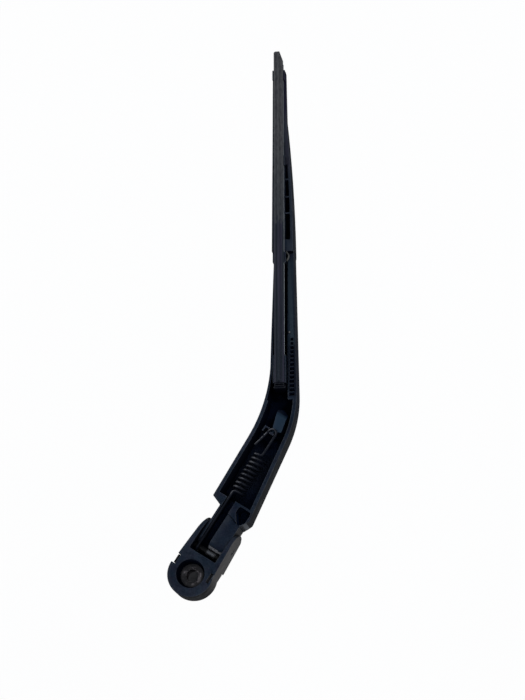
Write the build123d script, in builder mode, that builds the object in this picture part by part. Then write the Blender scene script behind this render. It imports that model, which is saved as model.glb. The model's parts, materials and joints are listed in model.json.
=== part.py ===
from build123d import *
from math import asin, cos, degrees, pi, radians, sin, sqrt
import os

# Rear wiper arm with its blade, lying on its outer face with the wiping lip upwards.
# Millimetres. The origin is the end of the bore in the splined insert, on the spindle's axis.
# +Z leaves the bore towards the glass, +Y runs along the blade to its tip.

# Overall layout
LEAN = 33.0                # the head and the spring lean this far from the blade's line
BLADE_X = 64.0             # blade line, to the right of the spindle
BACK_Z = -14.0             # outer face, on which the arm lies
RIM_Z = 4.0                # rim of the arm's channel

# Pivot head
HEAD_FACE_Z = 8.0          # underside of the head
BOSS_RADIUS = 16.6
HEAD_HALF_WIDE = 15.6      # half width beside the boss
HEAD_HALF_SLIM = 13.4      # half width at the hinge
HEAD_FLARE_REACH = 8.0     # where the side walls start, from the spindle
SOCKET_RADIUS = 10.2
SOCKET_FLOOR_RADIUS = 8.8
CAP_SEAT_Z = -8.8          # face of the head that the nut cover closes
NUT_POCKET_RADIUS = 10.5
NUT_POCKET_DEPTH = 1.3
SNAP_WIDTH = 7.4           # groove for the cover's snap tab
SNAP_DEPTH = 2.2
SNAP_REACH = 4.2           # middle of the groove, from the spindle
SNAP_RIM = 0.8             # wall outside the right groove; the left one is open
COVER_STEP = 0.4           # the nut cover stands this far inside the head's outline
COVER_WALL = 1.6
COVER_SLOPE = 3.4          # height and width of the sloped edge of its outer face
COVER_DRAFT = 2.2
TAB_THICKNESS = 1.2
TAB_INSET = 0.4            # from the outer side of a groove to its tab
TAB_TOP_Z = 7.0
PIN_INSET = 0.3            # pin ends stop this far inside the face they go through

# Splined insert
BORE_RADIUS = 5.0
INSERT_RADIUS = 7.0
COLLAR_RADIUS = 8.4
COLLAR_HEIGHT = 1.2
MOUTH_CHAMFER = 0.9

# Fold hinge between the head and the arm
HINGE_REACH = 29.5
HINGE_Z = -5.0
CHEEK_RADIUS = 12.5
CHEEK_LEFT = 10.8          # inner face of the left cheek, left of the spindle
CHEEK_RIGHT = 10.9         # inner face of the right cheek, right of the spindle
FORK_DEPTH = 14.1          # from the hinge to the bottom of the gap between the cheeks
FORK_PLATE_BACK = 7.2      # a plate closes the gap's outer side, up to this far short of the hinge
SIDE_PLAY = 0.3            # between a lug and its cheek
LUG_RADIUS = 8.2
STUB_RADIUS = 2.2
STUB_PLAY = 0.05
STUB_DEPTH = 7.5           # how far the right stub goes into its lug

# Tension spring
WIRE_RADIUS = 0.9
COIL_RADIUS = 4.5          # middle of the wire
COIL_PITCH = 3.45
COIL_TURNS = 9
COIL_SIDES = 18            # flats to a turn of the coil
WIRE_SIDES = 8             # flats round the wire
COIL_REACH = 67.0          # lower end of the coil
COIL_LEFT = 5.8            # the coil's axis, left of the spindle
LEG_BEND = 2.0             # bend between the coil and its legs
SLOT_LEFT = 8.9            # slot in the arm's tongue that the spring's leg runs in
SLOT_RIGHT = 1.8
SLOT_FLOOR_Z = -8.5
ANCHOR_BACK = 9.8          # from the hinge back to the anchor pin
ANCHOR_Z = -0.3
ANCHOR_RADIUS = 2.0
HANGER_REACH = 114.8       # upright half-round tab in the arm that the upper hook goes round
HANGER_RADIUS = 1.9
HANGER_TOP_Z = 3.9
HOOK_RETURN = 14.5         # the upper hook's free end runs back this far
HOOK_FLARE = 13.0          # and turns away from the coil's axis by this angle
HOOK_PLAY = 0.1            # between a hook and its pin

# Arm channel
WALL = 2.8                 # walls beside the spring
UPPER_WALL = 1.7           # walls beside the blade
FLOOR = 1.6                # thickness of the outer face
EDGE_ROUND = 2.6
LEFT_CORNER = (56.0, 18.4)     # lower end of the left wall, in the head's frame
LEFT_NOTCH = (52.9, 10.5)
RIGHT_CORNER = (53.5, -14.6)
RIGHT_NOTCH = (46.5, -10.9)
LEFT_WALL_LEAN = 31.0
LEFT_WALL_RUN = 49.0
RIGHT_WALL_LEAN = 24.8
RIGHT_WALL_RUN = 63.0
BEND_LEFT_Y = 150.0        # above these the arm only tapers
BEND_RIGHT_Y = 132.0
BEND_LEFT = 7.5            # half widths there, from the blade line
BEND_RIGHT = 11.8
END_LEFT = 4.9             # half widths at the blade's pivot
END_RIGHT = 9.6
END_RIM_Z = 1.5            # rim of the arm beside the pivot
RIM_FALL_Y = 168.0         # the rim falls from here to the pivot
CHANNEL_REACH = 60.5       # lower end of the spring's channel
BRIDGE_Z = 1.6             # raised block between the hanger and the blade's pocket
BRIDGE_CORNERS = ((116.8, 8.0), (134.0, 13.6), (136.2, 9.6), (133.2, 4.4), (120.0, 1.6))
BRIDGE_FALL_REACH = 130.0  # the block's top falls from here
BRIDGE_END_REACH = 136.5
BRIDGE_END_Z = -3.5
HOOK_GUARD_LOW = (114.4, 10.4)     # upright angle beside the upper hook, in the head's frame
HOOK_GUARD_HIGH = (118.8, 14.4)
HOOK_GUARD_WALL = 1.2
HOOK_GUARD_TOP_Z = 3.0
BLADE_POCKET_Y = 125.5     # lower end of the blade's pocket
POCKET_RIGHT = 5.2         # the pocket's right face, from the blade line
LADDER_LOW_Y = 128.3       # row of stiffening cells beside the pocket
LADDER_CELLS = 14
LADDER_PITCH = 3.2
LADDER_RIB = 1.0
LADDER_LOW = (6.2, 10.2)   # sides of the row at its lower end, from the blade line
LADDER_HIGH = (7.4, 9.5)   # and at its upper end
LADDER_FLOOR_Z = -6.0
SIDE_POCKET = ((45.6, -9.0), (50.6, -12.7), (59.0, -12.7), (59.0, -2.8), (54.0, -2.8))
SIDE_POCKET_ROUND = 1.8    # pocket beside the tongue, in the head's frame

# Blade pivot
PIVOT_Y = 233.0
PIVOT_Z = -5.5
PIVOT_RADIUS = 2.0
PIVOT_PLAY = 0.06
BUSH_RADIUS = 3.3
PIVOT_BOSS_RADIUS = 5.2
PIVOT_SIDE_PLAY = 0.3      # between the carrier and the walls beside it
PIVOT_BITE = 2.6           # length of the pivot pin in the right wall
END_GAP = 0.7              # between the arm's round end and the blade's shell

# Blade
HEEL_Y = 132.5
HEEL_LENGTH = 23.0
TIP_Y = 398.5
SHELL_END_Y = 384.0        # last claw
DECK_Z = 5.6               # the squeegee sits on this
BAR_HALF = 2.8             # the carrier inside the arm's pocket
BAR_LOW_Z = -5.0
HEEL_HALF = 4.2
HEEL_LOW_Z = -2.0
SHELL_LOW_Z = -13.2        # outer face of the shell beside the pivot
SHELL_MID_Y = 310.0
SHELL_MID_Z = -5.6         # and halfway along it
SHELL_TIP_Z = 0.6          # outer face of the shell at its tip
SHELL_LEFT = 6.1
SHELL_RIGHT = 9.8
SHELL_TAPER_Y = 243.0      # the shell's right side draws in from here
SHELL_SLIM_Y = 345.0       # to here
SHELL_SLIM = 5.2
SHELL_TIP_HALF = 4.9
SHELL_WALL = 2.0
SHELL_POCKET_LOW_Y = 248.0
SHELL_POCKET_HIGH_Y = 308.0
SHELL_POCKET_FLOOR = 2.2   # thickness of the outer face under the pocket
SHELL_POCKET_LEFT = 4.0    # the pocket's left face, from the blade line
SHELL_RIBS = (269.0, 282.0, 296.0)
SHELL_RIB = 1.2
CLAW_PLACES = (233.0, 310.0, 380.0)
CLAW_LENGTH = 8.0
HEEL_CLAW_LENGTH = 21.0    # the claw at the heel is longer
CLAW_OUTER = 4.8
CLAW_INNER = 3.9
CLAW_LIP = 2.9
CLAW_BASE = 1.2            # thickness of the foot under the squeegee
CLAW_PLAY = 0.1            # between a claw and the rail under it
CLAW_TOP_Z = 9.6
RAIL_LOW_Z = 7.6
RAIL_THICKNESS = 0.8
RAIL_INNER = 1.7
RAIL_OUTER = 3.7
RAIL_END_GAP = 4.0         # a rail stops this far short of the squeegee's ends
RUBBER_HALF = 3.6          # widest part of the squeegee's body
RUBBER_SPINE_HALF = 2.6
RUBBER_BODY_Z = 9.8
RUBBER_SHOULDER_Z = 12.4
RUBBER_SHOULDER_HALF = 2.1
LIP_TOP_Z = 16.2
LIP_HALF = 0.45
LIP_ROOT_HALF = 0.9
RUBBER_EDGE = 0.8          # upright edge at the widest part
TIP_CUT_WIDTH = 2.6        # slanting cut at the right corner of the squeegee's tip
TIP_CUT_LENGTH = 7.6

# Heel plug
HEEL_WALL = 1.6
PLUG_LENGTH = 2.0
PLUG_HALF = 3.5
PLUG_TOP_Z = 10.4
PLUG_WALL = 0.5
PLUG_DEPTH = 1.8

os.makedirs("parts", exist_ok=True)

# The head's frame: x is the reach from the spindle along the lower arm, y is to its left.
ALONG = Vector(sin(radians(LEAN)), cos(radians(LEAN)), 0)
LOWER = Plane(origin=(0, 0, 0), x_dir=ALONG, z_dir=(0, 0, 1))


def level(height):
    """The head's frame at a height."""
    return LOWER.offset(height)


def upright(left):
    """Upright plane along the lower arm, facing right: x is the reach, y is the height."""
    return Plane(origin=LOWER.from_local_coords((0, left, 0)), x_dir=ALONG, z_dir=-LOWER.y_dir)


def in_plan(point):
    """A point of the head's frame, in plan."""
    place = LOWER.from_local_coords((point[0], point[1], 0))
    return (place.X, place.Y)


FLOOR_Z = BACK_Z + FLOOR
COLLAR_LOW_Z = MOUTH_CHAMFER - COLLAR_HEIGHT
FORK_REACH = HINGE_REACH - FORK_DEPTH
FORK_PLATE_REACH = HINGE_REACH - FORK_PLATE_BACK
ANCHOR_REACH = HINGE_REACH - ANCHOR_BACK
LEG_Z = ANCHOR_Z + ANCHOR_RADIUS + HOOK_PLAY + WIRE_RADIUS
COIL_AXIS_Z = LEG_Z - COIL_RADIUS
LOWER_HOOK = ANCHOR_RADIUS + HOOK_PLAY + WIRE_RADIUS
UPPER_HOOK = HANGER_RADIUS + HOOK_PLAY + WIRE_RADIUS
LUG_TOP_Z = HINGE_Z + LUG_RADIUS
ARM_END_RADIUS = PIVOT_Z - BACK_Z
CAP_END = FORK_REACH - WALL
CHEEK_END = HINGE_REACH + CHEEK_RADIUS
RAIL_TOP_Z = RAIL_LOW_Z + RAIL_THICKNESS
RUBBER_Y = HEEL_Y + HEEL_WALL + PLUG_LENGTH + COVER_STEP


def head_half(reach):
    """Half width of the head at a reach from the spindle."""
    share = (reach - HEAD_FLARE_REACH) / (CHEEK_END - HEAD_FLARE_REACH)
    return HEAD_HALF_WIDE + (HEAD_HALF_SLIM - HEAD_HALF_WIDE) * share


# Pivot head: boss, socket and the two cheeks of the fold hinge, moulded as one
with BuildPart() as pivot_head:
    with BuildSketch(level(BACK_Z)):
        Circle(BOSS_RADIUS)
        with BuildLine():
            Polyline(
                (0, HEAD_HALF_WIDE),
                (HEAD_FLARE_REACH, HEAD_HALF_WIDE),
                (CHEEK_END, HEAD_HALF_SLIM),
                (CHEEK_END, -HEAD_HALF_SLIM),
                (HEAD_FLARE_REACH, -HEAD_HALF_WIDE),
                (0, -HEAD_HALF_WIDE),
                close=True,
            )
        make_face()
    extrude(amount=HEAD_FACE_Z - BACK_Z)
    # Side profile: level over the boss, round about the hinge, stepped for the nut cover
    with BuildSketch(upright(BOSS_RADIUS)):
        with BuildLine():
            start = degrees(asin((BACK_Z - HINGE_Z) / CHEEK_RADIUS))
            nose = CenterArc((HINGE_REACH, HINGE_Z), CHEEK_RADIUS, start, 90 - start)
            Polyline(
                nose @ 1,
                (HINGE_REACH - CHEEK_RADIUS, HEAD_FACE_Z),
                (-BOSS_RADIUS, HEAD_FACE_Z),
                (-BOSS_RADIUS, CAP_SEAT_Z),
                (CAP_END, CAP_SEAT_Z),
                (CAP_END, BACK_Z),
                nose @ 0,
            )
        make_face()
    extrude(amount=2 * BOSS_RADIUS, mode=Mode.INTERSECT)
    # Gap for the arm's tongue and the spring's hook, with a plate across its outer side
    for reach, low in ((FORK_REACH, FLOOR_Z), (FORK_PLATE_REACH, BACK_Z)):
        with BuildSketch(level(low)):
            with Locations((reach, (CHEEK_LEFT - CHEEK_RIGHT) / 2)):
                Rectangle(CHEEK_END, CHEEK_LEFT + CHEEK_RIGHT, align=(Align.MIN, Align.CENTER))
        extrude(amount=HEAD_FACE_Z - low, mode=Mode.SUBTRACT)
    # Socket over the insert, and the pocket for the spindle's nut
    with BuildSketch(Plane.XY.offset(HEAD_FACE_Z)):
        Circle(SOCKET_RADIUS)
    with BuildSketch(Plane.XY.offset(COLLAR_LOW_Z)):
        Circle(SOCKET_FLOOR_RADIUS)
    loft(mode=Mode.SUBTRACT)
    with BuildSketch(Plane.XY.offset(CAP_SEAT_Z)):
        Circle(INSERT_RADIUS)
    extrude(amount=COLLAR_LOW_Z - CAP_SEAT_Z, mode=Mode.SUBTRACT)
    with BuildSketch(Plane.XY.offset(CAP_SEAT_Z)):
        Circle(NUT_POCKET_RADIUS)
    extrude(amount=NUT_POCKET_DEPTH, mode=Mode.SUBTRACT)
    # Grooves for the nut cover's snap tabs: the left one open, the right one a closed slot
    with BuildSketch(level(CAP_SEAT_Z)):
        with Locations((SNAP_REACH, HEAD_HALF_WIDE - SNAP_DEPTH)):
            Rectangle(SNAP_WIDTH, BOSS_RADIUS, align=(Align.CENTER, Align.MIN))
        with Locations((SNAP_REACH, SNAP_RIM + SNAP_DEPTH / 2 - HEAD_HALF_WIDE)):
            Rectangle(SNAP_WIDTH, SNAP_DEPTH)
    extrude(amount=HEAD_FACE_Z - CAP_SEAT_Z, mode=Mode.SUBTRACT)
    # Holes for the hinge stubs and the spring's anchor pin
    with BuildSketch(upright(BOSS_RADIUS)):
        with Locations((HINGE_REACH, HINGE_Z)):
            Circle(STUB_RADIUS)
    extrude(amount=2 * BOSS_RADIUS, mode=Mode.SUBTRACT)
    with BuildSketch(upright(BOSS_RADIUS)):
        with Locations((ANCHOR_REACH, ANCHOR_Z)):
            Circle(ANCHOR_RADIUS)
    extrude(amount=BOSS_RADIUS + CHEEK_RIGHT + WALL / 2, mode=Mode.SUBTRACT)
pivot_head.part.label = "pivot_head"
export_step(pivot_head.part, "parts/pivot_head.step")

# Splined insert: a steel collar and sleeve, pressed into the boss
with BuildPart() as spline_insert:
    with BuildSketch(Plane.XZ):
        with BuildLine():
            insert_low = CAP_SEAT_Z + NUT_POCKET_DEPTH
            Polyline(
                (BORE_RADIUS, insert_low),
                (INSERT_RADIUS, insert_low),
                (INSERT_RADIUS, COLLAR_LOW_Z),
                (COLLAR_RADIUS, COLLAR_LOW_Z),
                (COLLAR_RADIUS, MOUTH_CHAMFER),
                (BORE_RADIUS + MOUTH_CHAMFER, MOUTH_CHAMFER),
                (BORE_RADIUS, 0),
                close=True,
            )
        make_face()
    revolve(axis=Axis.Z)
spline_insert.part.label = "spline_insert"
export_step(spline_insert.part, "parts/spline_insert.step")

# Nut cover: a hollow lid that snaps over the outer side of the boss
with BuildPart() as nut_cover:
    with BuildSketch(level(BACK_Z)):
        Circle(BOSS_RADIUS - COVER_STEP)
        cover_width = 2 * (HEAD_HALF_WIDE - COVER_STEP)
        Rectangle(BOSS_RADIUS, cover_width, align=(Align.MIN, Align.CENTER))
        with Locations((CAP_END - COVER_STEP, 0)):
            Rectangle(BOSS_RADIUS, 2 * BOSS_RADIUS, align=(Align.MIN, Align.CENTER), mode=Mode.SUBTRACT)
    extrude(amount=CAP_SEAT_Z - BACK_Z)
    chamfer(nut_cover.faces().sort_by(Axis.Z)[0].edges(), COVER_SLOPE, COVER_DRAFT)
    with BuildSketch(level(CAP_SEAT_Z)):
        Circle(NUT_POCKET_RADIUS)
    extrude(amount=-(CAP_SEAT_Z - BACK_Z - COVER_WALL), mode=Mode.SUBTRACT)
    with BuildSketch(level(CAP_SEAT_Z - COVER_WALL / 2)):
        left_tab = HEAD_HALF_WIDE - TAB_INSET - TAB_THICKNESS / 2
        for place in (left_tab, SNAP_RIM - left_tab):
            with Locations((SNAP_REACH, place)):
                Rectangle(SNAP_WIDTH - 2 * COVER_STEP, TAB_THICKNESS)
    extrude(amount=TAB_TOP_Z - CAP_SEAT_Z + COVER_WALL / 2)
nut_cover.part.label = "nut_cover"
export_step(nut_cover.part, "parts/nut_cover.step")


def cross_pin(reach, height, radius, left, right):
    """A round pin across the lower arm, between two distances left of the spindle."""
    with BuildPart() as pin:
        with BuildSketch(upright(left)):
            with Locations((reach, height)):
                Circle(radius)
        extrude(amount=left - right)
    return pin


anchor_pin = cross_pin(
    ANCHOR_REACH, ANCHOR_Z, ANCHOR_RADIUS, head_half(ANCHOR_REACH) - PIN_INSET, -CHEEK_RIGHT - WALL / 2
)
anchor_pin.part.label = "anchor_pin"
export_step(anchor_pin.part, "parts/anchor_pin.step")

stub_end = head_half(HINGE_REACH) - PIN_INSET
hinge_stub_left = cross_pin(HINGE_REACH, HINGE_Z, STUB_RADIUS, stub_end, SLOT_LEFT + PIN_INSET)
hinge_stub_left.part.label = "hinge_stub_left"
export_step(hinge_stub_left.part, "parts/hinge_stub_left.step")

hinge_stub_right = cross_pin(HINGE_REACH, HINGE_Z, STUB_RADIUS, -CHEEK_RIGHT + STUB_DEPTH, -stub_end)
hinge_stub_right.part.label = "hinge_stub_right"
export_step(hinge_stub_right.part, "parts/hinge_stub_right.step")

# Tension spring, in its own frame: z along the coil, x up, y to the right.
# A coil with a long leg that hooks on the head's pin and a wide hook round the arm's tab
SPRING_FRAME = Plane(
    origin=LOWER.from_local_coords((COIL_REACH, COIL_LEFT, COIL_AXIS_Z)), x_dir=(0, 0, 1), z_dir=ALONG
)


def leg_start(coil_end, way, reach):
    """A bend out of the coil and a straight run to a reach; its end is returned."""
    bend_end = coil_end + Vector(0, way * LEG_BEND, way * LEG_BEND)
    hook_start = Vector(bend_end.X, bend_end.Y, reach - COIL_REACH)
    TangentArc(coil_end, bend_end, tangent=(0, way, 0))
    Line(bend_end, hook_start)
    return hook_start


with BuildLine() as coil_line:
    steps = range(COIL_TURNS * COIL_SIDES + 1)
    turns = [2 * pi * step / COIL_SIDES for step in steps]
    Polyline([(COIL_RADIUS * cos(a), COIL_RADIUS * sin(a), COIL_PITCH * a / (2 * pi)) for a in turns])

with BuildPart() as coil_spring:
    coil = coil_line.wire()
    with BuildSketch(Plane(origin=coil @ 0, x_dir=(1, 0, 0), z_dir=(0, 1, 0))):
        RegularPolygon(WIRE_RADIUS, WIRE_SIDES)
    sweep(path=coil, transition=Transition.RIGHT)
    with BuildLine() as lower_leg:
        hook_start = leg_start(coil @ 0, -1, ANCHOR_REACH)
        hook_far = hook_start + Vector(-LOWER_HOOK, 0, -LOWER_HOOK)
        ThreePointArc(hook_start, hook_far, hook_start + Vector(-2 * LOWER_HOOK, 0, 0))
    with BuildLine() as upper_leg:
        hook_start = leg_start(coil @ 1, 1, HANGER_REACH)
        hook_far = hook_start + Vector(0, -UPPER_HOOK, UPPER_HOOK)
        back = Vector(0, -sin(radians(HOOK_FLARE)), -cos(radians(HOOK_FLARE)))
        hook_end = hook_start + UPPER_HOOK * Vector(0, back.Z - 1, -back.Y)
        ThreePointArc(hook_start, hook_far, hook_end)
        Line(hook_end, hook_end + HOOK_RETURN * back)
    for leg in (lower_leg.wire(), upper_leg.wire()):
        with BuildSketch(Plane(origin=leg @ 0, z_dir=leg % 0)):
            RegularPolygon(WIRE_RADIUS, WIRE_SIDES)
        sweep(path=leg)
tension_spring = SPRING_FRAME.location * coil_spring.part
tension_spring.label = "tension_spring"
export_step(tension_spring, "parts/tension_spring.step")


def arm_outline():
    """Outline of the arm in plan: a straight lower run, a bend and a tapered upper run."""
    left_foot = in_plan(LEFT_CORNER)
    right_foot = in_plan(RIGHT_CORNER)
    end_y = PIVOT_Y + ARM_END_RADIUS
    left = PolarLine(left_foot, LEFT_WALL_RUN, 90 - LEFT_WALL_LEAN)
    left_bend = TangentArc(left @ 1, (BLADE_X - BEND_LEFT, BEND_LEFT_Y), tangent=left % 1)
    right = PolarLine(right_foot, RIGHT_WALL_RUN, 90 - RIGHT_WALL_LEAN)
    right_bend = TangentArc(right @ 1, (BLADE_X + BEND_RIGHT, BEND_RIGHT_Y), tangent=right % 1)
    Polyline(left_bend @ 1, (BLADE_X - END_LEFT, end_y), (BLADE_X + END_RIGHT, end_y), right_bend @ 1)
    Polyline(left_foot, in_plan(LEFT_NOTCH), in_plan(RIGHT_NOTCH), right_foot)


def lower_box(low, high):
    """Corners of a box of the head's frame, in plan."""
    return [in_plan(p) for p in (low, (high[0], low[1]), high, (low[0], high[1]))]


WIDE = 2 * BLADE_X
BLADE_SIDE = Plane.YZ.offset(BLADE_X)
LUG_LEFT = CHEEK_LEFT - SIDE_PLAY
LUG_RIGHT = CHEEK_RIGHT - SIDE_PLAY
HOOK_LEFT = COIL_LEFT - LEG_BEND
LADDER_RUN = LADDER_CELLS * LADDER_PITCH


def ladder_side(side, height):
    """A point on one side of the row of cells, at a height above its lower end."""
    drift = (LADDER_HIGH[side] - LADDER_LOW[side]) * height / LADDER_RUN
    return (BLADE_X + LADDER_LOW[side] + drift, LADDER_LOW_Y + height)



# Raised block between the hanger and the blade's pocket, with a sloping end
with BuildPart() as bridge:
    with BuildSketch(Plane.XY.offset(BACK_Z + FLOOR / 2)):
        Polygon(*[in_plan(corner) for corner in BRIDGE_CORNERS], align=None)
    extrude(amount=BRIDGE_Z - BACK_Z)
    with BuildSketch(upright(BOSS_RADIUS)):
        Polygon(
            (HANGER_REACH, BACK_Z),
            (HANGER_REACH, BRIDGE_Z),
            (BRIDGE_FALL_REACH, BRIDGE_Z),
            (BRIDGE_END_REACH, BRIDGE_END_Z),
            (BRIDGE_END_REACH, BACK_Z),
            align=None,
        )
    extrude(amount=2 * BOSS_RADIUS, mode=Mode.INTERSECT)

# Arm: one moulded channel, open towards the glass, from the fold hinge to the blade's pivot
with BuildPart() as arm_channel:
    with BuildSketch(Plane.XY.offset(BACK_Z)):
        with BuildLine():
            arm_outline()
        make_face()
    extrude(amount=RIM_Z - BACK_Z)
    back_edges = arm_channel.faces().sort_by(Axis.Z)[0].edges()
    fillet(back_edges.filter_by(lambda edge: edge.length > WALL * 14), EDGE_ROUND)
    # Side profile: the rim falls towards the pivot, where the end is round
    with BuildSketch(Plane.YZ):
        with BuildLine():
            rise = degrees(asin((END_RIM_Z - PIVOT_Z) / ARM_END_RADIUS))
            end_arc = CenterArc((PIVOT_Y, PIVOT_Z), ARM_END_RADIUS, -90, 90 + rise)
            Polyline(end_arc @ 1, (RIM_FALL_Y, RIM_Z), (0, RIM_Z), (0, BACK_Z), end_arc @ 0)
        make_face()
    extrude(amount=WIDE, mode=Mode.INTERSECT)
    # Channel, from the tongue to the foot of the blade's pocket
    with BuildSketch(Plane.XY.offset(FLOOR_Z)):
        with BuildLine():
            arm_outline()
        make_face()
        offset(amount=-WALL, mode=Mode.REPLACE)
        above_tongue = lower_box((CHANNEL_REACH, -PIVOT_Y), (2 * PIVOT_Y, PIVOT_Y))
        Polygon(*above_tongue, align=None, mode=Mode.INTERSECT)
        with Locations((BLADE_X, BLADE_POCKET_Y)):
            Rectangle(WIDE, PIVOT_Y, align=(Align.CENTER, Align.MIN), mode=Mode.SUBTRACT)
    extrude(amount=RIM_Z - FLOOR_Z, mode=Mode.SUBTRACT)
    add(bridge.part)
    # Upright half-round tab for the spring's upper hook, and an angle that guards the hook
    with BuildSketch(level(BACK_Z + FLOOR / 2)):
        with Locations((HANGER_REACH, HOOK_LEFT + UPPER_HOOK)):
            Circle(HANGER_RADIUS)
            half_tab = (Align.MIN, Align.CENTER)
            Rectangle(HANGER_RADIUS, 2 * HANGER_RADIUS, align=half_tab, mode=Mode.INTERSECT)
    extrude(amount=HANGER_TOP_Z - BACK_Z - FLOOR / 2)
    with BuildSketch(Plane.XY.offset(BACK_Z + FLOOR / 2)):
        Polygon(*lower_box(HOOK_GUARD_LOW, HOOK_GUARD_HIGH), align=None)
        guard_inner = (HOOK_GUARD_HIGH[0] - HOOK_GUARD_WALL, HOOK_GUARD_HIGH[1] - HOOK_GUARD_WALL)
        Polygon(*lower_box(HOOK_GUARD_LOW, guard_inner), align=None, mode=Mode.SUBTRACT)
    extrude(amount=HOOK_GUARD_TOP_Z - BACK_Z - FLOOR / 2)
    # Blade's pocket, open at the pivot
    with BuildSketch(Plane.XY.offset(FLOOR_Z)):
        with BuildLine():
            arm_outline()
        make_face()
        offset(amount=-UPPER_WALL, mode=Mode.REPLACE)
        with Locations((BLADE_X - END_LEFT + UPPER_WALL, PIVOT_Y)):
            Rectangle(POCKET_RIGHT + END_LEFT, 2 * ARM_END_RADIUS, align=(Align.MIN, Align.CENTER))
        with Locations((BLADE_X + POCKET_RIGHT, BLADE_POCKET_Y)):
            Rectangle(WIDE, 2 * PIVOT_Y, align=(Align.MAX, Align.MIN), mode=Mode.INTERSECT)
    extrude(amount=RIM_Z - FLOOR_Z, mode=Mode.SUBTRACT)
    # Ladder of stiffening cells beside the blade, narrower towards the pivot
    with BuildSketch(Plane.XY.offset(LADDER_FLOOR_Z)):
        for cell in range(LADDER_CELLS):
            low = cell * LADDER_PITCH
            high = low + LADDER_PITCH - LADDER_RIB
            cell_corners = ((0, low), (1, low), (1, high), (0, high))
            Polygon(*[ladder_side(*corner) for corner in cell_corners], align=None)
    extrude(amount=RIM_Z - LADDER_FLOOR_Z, mode=Mode.SUBTRACT)
    # Tongue: a round-ended block in the head's fork, slotted for the spring's leg
    with BuildSketch(upright(LUG_LEFT)):
        with Locations((HINGE_REACH, HINGE_Z)):
            Circle(LUG_RADIUS)
        with Locations((HINGE_REACH, LUG_TOP_Z)):
            Rectangle(LEFT_NOTCH[0] - HINGE_REACH, LUG_TOP_Z - BACK_Z, align=(Align.MIN, Align.MAX))
    extrude(amount=LUG_LEFT + LUG_RIGHT)
    with BuildSketch(level(SLOT_FLOOR_Z)):
        with Locations((HINGE_REACH - LUG_RADIUS, (SLOT_LEFT + SLOT_RIGHT) / 2)):
            slot_run = CHANNEL_REACH - HINGE_REACH + LUG_RADIUS
            Rectangle(slot_run, SLOT_LEFT - SLOT_RIGHT, align=(Align.MIN, Align.CENTER))
    extrude(amount=RIM_Z - SLOT_FLOOR_Z, mode=Mode.SUBTRACT)
    # Pocket beside the tongue
    with BuildSketch(Plane.XY.offset(FLOOR_Z)):
        pocket = Polygon(*[in_plan(corner) for corner in SIDE_POCKET], align=None)
        fillet(pocket.vertices(), SIDE_POCKET_ROUND)
    extrude(amount=RIM_Z - FLOOR_Z, mode=Mode.SUBTRACT)
    # Holes for the hinge stubs and the pivot pin
    with BuildSketch(upright(CHEEK_LEFT)):
        with Locations((HINGE_REACH, HINGE_Z)):
            Circle(STUB_RADIUS + STUB_PLAY)
    extrude(amount=CHEEK_LEFT - SLOT_LEFT, mode=Mode.SUBTRACT)
    with BuildSketch(upright(STUB_DEPTH - LUG_RIGHT)):
        with Locations((HINGE_REACH, HINGE_Z)):
            Circle(STUB_RADIUS + STUB_PLAY)
    extrude(amount=STUB_DEPTH, mode=Mode.SUBTRACT)
    with BuildSketch(BLADE_SIDE.offset(-2 * END_LEFT)):
        with Locations((PIVOT_Y, PIVOT_Z)):
            Circle(PIVOT_RADIUS)
    extrude(amount=2 * END_LEFT + POCKET_RIGHT + PIVOT_BITE, mode=Mode.SUBTRACT)
arm_channel.part.label = "arm_channel"
export_step(arm_channel.part, "parts/arm_channel.step")

with BuildPart() as pivot_pin:
    with BuildSketch(BLADE_SIDE.offset(-END_LEFT + PIN_INSET)):
        with Locations((PIVOT_Y, PIVOT_Z)):
            Circle(PIVOT_RADIUS)
    extrude(amount=END_LEFT - PIN_INSET + POCKET_RIGHT + PIVOT_BITE)
pivot_pin.part.label = "pivot_pin"
export_step(pivot_pin.part, "parts/pivot_pin.step")

BOSS_LEFT = END_LEFT - UPPER_WALL - PIVOT_SIDE_PLAY
BOSS_RIGHT = POCKET_RIGHT - PIVOT_SIDE_PLAY
SHELL_START = sqrt((ARM_END_RADIUS + END_GAP) ** 2 - (END_RIM_Z - PIVOT_Z) ** 2)
SHELL_FOOT = sqrt((ARM_END_RADIUS + END_GAP) ** 2 - (SHELL_LOW_Z - PIVOT_Z) ** 2)


def shell_outline():
    """Outline of the blade's outboard shell in plan."""
    Polyline(
        (BLADE_X + SHELL_RIGHT, SHELL_TAPER_Y),
        (BLADE_X + SHELL_RIGHT, PIVOT_Y),
        (BLADE_X - SHELL_LEFT, PIVOT_Y),
        (BLADE_X - SHELL_TIP_HALF, SHELL_END_Y),
        (BLADE_X + SHELL_TIP_HALF, SHELL_END_Y),
        (BLADE_X + SHELL_SLIM, SHELL_SLIM_Y),
    )
    TangentArc(
        (BLADE_X + SHELL_RIGHT, SHELL_TAPER_Y), (BLADE_X + SHELL_SLIM, SHELL_SLIM_Y), tangent=(0, 1)
    )


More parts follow.
